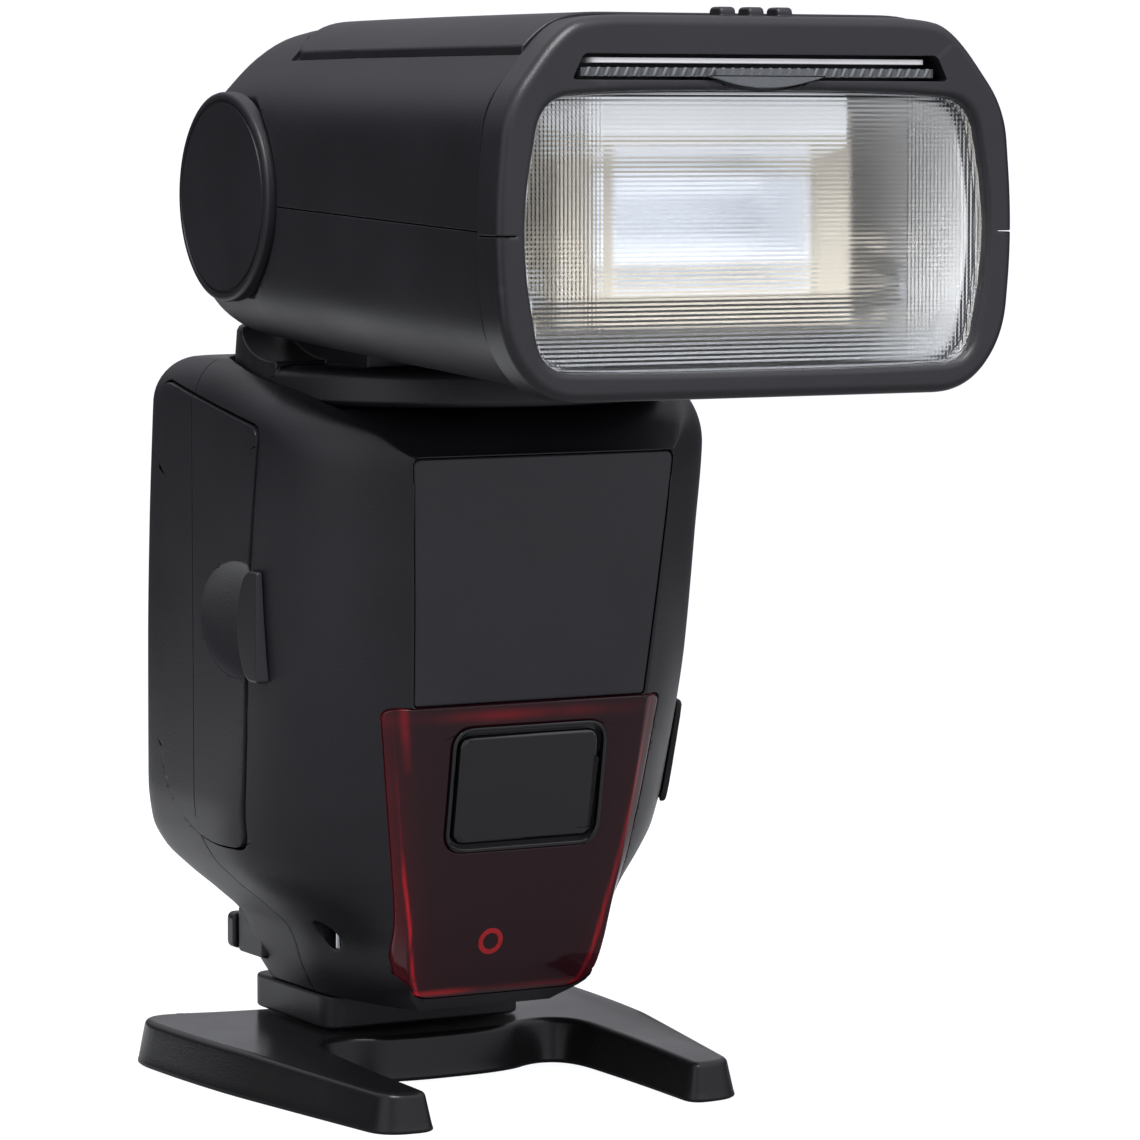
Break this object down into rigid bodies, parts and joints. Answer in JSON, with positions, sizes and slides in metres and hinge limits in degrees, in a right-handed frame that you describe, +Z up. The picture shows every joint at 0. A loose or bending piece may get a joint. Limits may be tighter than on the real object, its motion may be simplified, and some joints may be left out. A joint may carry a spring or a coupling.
{
  "type": "speedlight flash",
  "caption": "Camera flash with a tilting and swivelling zoom head, battery door, rear display and controls, locked by its hot-shoe foot onto a small U-shaped table stand.",
  "frame": {"origin": "on the surface the stand rests on, under the middle of the hot-shoe foot", "axes": "+Z up; the light leaves towards -Y and the display faces +Y; the battery door is on the -X side and the terminals are on the +X side"},
  "size_m": [0.0796, 0.1283, 0.1579],
  "materials": {
    "shell": "fine textured semi-matte charcoal black",
    "panel": "smooth satin charcoal",
    "gloss": "gloss black",
    "window": "dark translucent red",
    "rubber": "matte black rubber",
    "clear": "clear moulded prisms",
    "white": "white",
    "cream": "cream",
    "steel": "plated",
    "brass": "turned",
    "board": "green laminate",
    "label": "grey film",
    "glass": "clear tube"
  },
  "bodies": {
    "flash_body": {"front_shell": "shell", "rear_shell": "shell", "light_baffle": "shell", "battery_tray": "shell", "foot_block": "shell", "front_panel": "panel", "assist_lens": "gloss", "wireless_sensor": "gloss", "main_capacitor": "gloss", "lcd_window": "gloss", "stand_base": "gloss", "red_window": "window", "transformer": "cream", "battery_contact_low": "steel", "battery_contact_high": "steel", "pc_socket": "steel", "sync_jack": "steel", "shoe_foot": "steel", "shoe_contacts": "brass", "stand_thread_insert": "brass", "main_board": "board", "battery_cell_1": "label", "battery_cell_2": "label", "battery_cell_3": "label", "battery_cell_4": "label", "lcd_module": "label"},
    "neck": {"neck_yoke": "shell", "neck_retainer": "steel"},
    "head": {"head_lower_shell": "shell", "head_upper_shell": "shell", "head_top_cover": "shell", "bezel": "shell", "fresnel_lens": "clear", "pivot_cap_left": "shell", "pivot_ring_right": "shell", "tilt_axle": "steel", "zoom_motor": "steel", "zoom_guide_rod": "steel"},
    "bounce_button": {"bounce_lock_button": "shell"},
    "zoom": {"zoom_carriage": "cream", "reflector": "steel", "flash_tube": "glass"},
    "zoom_drive": {"zoom_screw": "steel"},
    "card": {"catchlight_card": "white"},
    "diffuser": {"wide_panel": "clear"},
    "door": {"battery_door": "shell"},
    "latch": {"door_latch": "shell"},
    "cover": {"terminal_cover": "rubber"},
    "lever": {"lock_lever": "gloss"},
    "pin": {"lock_pin": "steel"},
    "dial": {"select_dial": "gloss"},
    "set_key": {"set_button": "rubber"},
    "switch": {"power_switch": "gloss"},
    "function_key_1": {"function_button_1": "rubber"},
    "function_key_2": {"function_button_2": "rubber"},
    "function_key_3": {"function_button_3": "rubber"},
    "function_key_4": {"function_button_4": "rubber"},
    "mode_key": {"mode_button": "rubber"},
    "wireless_key": {"wireless_button": "rubber"},
    "test_key": {"test_button": "rubber"}
  },
  "joints": [
    {"name": "head_swivel", "type": "hinge", "parent": "flash_body", "child": "neck", "pos_m": [0, -0.02, 0.105], "axis": [0, 0, 1], "range_deg": [-180, 180]},
    {"name": "head_tilt", "type": "hinge", "parent": "neck", "child": "head", "pos_m": [0, -0.0258, 0.1322], "axis": [-1, 0, 0], "range_deg": [0, 90]},
    {"name": "bounce_lock_press", "type": "slide", "parent": "head", "child": "bounce_button", "axis": [-1, 0, 0], "range_m": [0, 0.0015], "stiffness_N_per_m": 600, "springref_m": -0.0008},
    {"name": "zoom_travel", "type": "slide", "parent": "head", "child": "zoom", "axis": [0, 1, 0], "range_m": [-0.007, 0.021]},
    {"name": "zoom_screw_turn", "type": "hinge", "parent": "head", "child": "zoom_drive", "pos_m": [-0.0272, -0.0767, 0.121], "axis": [0, 1, 0], "range_deg": [-160, 475]},
    {"name": "catchlight_card_pull", "type": "slide", "parent": "head", "child": "card", "axis": [0, -1, 0], "range_m": [0, 0.035]},
    {"name": "wide_panel_pull", "type": "slide", "parent": "head", "child": "diffuser", "axis": [0, -1, 0], "range_m": [0, 0.035]},
    {"name": "battery_door_swing", "type": "hinge", "parent": "flash_body", "child": "door", "pos_m": [-0.036, 0.0036, 0.07], "axis": [0, 0, -1], "range_deg": [0, 100]},
    {"name": "door_latch_slide", "type": "slide", "parent": "door", "child": "latch", "axis": [0, 0, -1], "range_m": [0, 0.0025], "stiffness_N_per_m": 300, "springref_m": -0.002},
    {"name": "terminal_cover_open", "type": "hinge", "parent": "flash_body", "child": "cover", "pos_m": [0.0368, -0.0115, 0.0482], "axis": [0, 0, 1], "range_deg": [0, 110]},
    {"name": "lock_lever_slide", "type": "slide", "parent": "flash_body", "child": "lever", "axis": [1, 0, 0], "range_m": [0, 0.008]},
    {"name": "lock_pin_lift", "type": "slide", "parent": "flash_body", "child": "pin", "axis": [0, 0, 1], "range_m": [0, 0.0018]},
    {"name": "dial_turn", "type": "hinge", "parent": "flash_body", "child": "dial", "pos_m": [0, 0.012, 0.0435], "axis": [0, 1, 0], "continuous": true},
    {"name": "set_press", "type": "slide", "parent": "dial", "child": "set_key", "axis": [0, -1, 0], "range_m": [0, 0.0007], "stiffness_N_per_m": 400, "springref_m": -0.0006},
    {"name": "power_switch_turn", "type": "hinge", "parent": "flash_body", "child": "switch", "pos_m": [0, 0.012, 0.0274], "axis": [0, 1, 0], "range_deg": [-30, 30]},
    {"name": "function_press_1", "type": "slide", "parent": "flash_body", "child": "function_key_1", "axis": [0, -1, 0], "range_m": [0, 0.0008], "stiffness_N_per_m": 400, "springref_m": -0.0006},
    {"name": "function_press_2", "type": "slide", "parent": "flash_body", "child": "function_key_2", "axis": [0, -1, 0], "range_m": [0, 0.0008], "stiffness_N_per_m": 400, "springref_m": -0.0006},
    {"name": "function_press_3", "type": "slide", "parent": "flash_body", "child": "function_key_3", "axis": [0, -1, 0], "range_m": [0, 0.0008], "stiffness_N_per_m": 400, "springref_m": -0.0006},
    {"name": "function_press_4", "type": "slide", "parent": "flash_body", "child": "function_key_4", "axis": [0, -1, 0], "range_m": [0, 0.0008], "stiffness_N_per_m": 400, "springref_m": -0.0006},
    {"name": "mode_press", "type": "slide", "parent": "flash_body", "child": "mode_key", "axis": [0, -1, 0], "range_m": [0, 0.0008], "stiffness_N_per_m": 400, "springref_m": -0.0006},
    {"name": "wireless_press", "type": "slide", "parent": "flash_body", "child": "wireless_key", "axis": [0, -1, 0], "range_m": [0, 0.0008], "stiffness_N_per_m": 400, "springref_m": -0.0006},
    {"name": "test_press", "type": "slide", "parent": "flash_body", "child": "test_key", "axis": [0, -1, 0], "range_m": [0, 0.0008], "stiffness_N_per_m": 400, "springref_m": -0.0006}
  ],
  "couplings": [
    {"joint": "zoom_screw_turn", "follows": "zoom_travel", "rad_per_m": 392.7},
    {"joint": "lock_pin_lift", "follows": "lock_lever_slide", "ratio": 0.225}
  ]
}
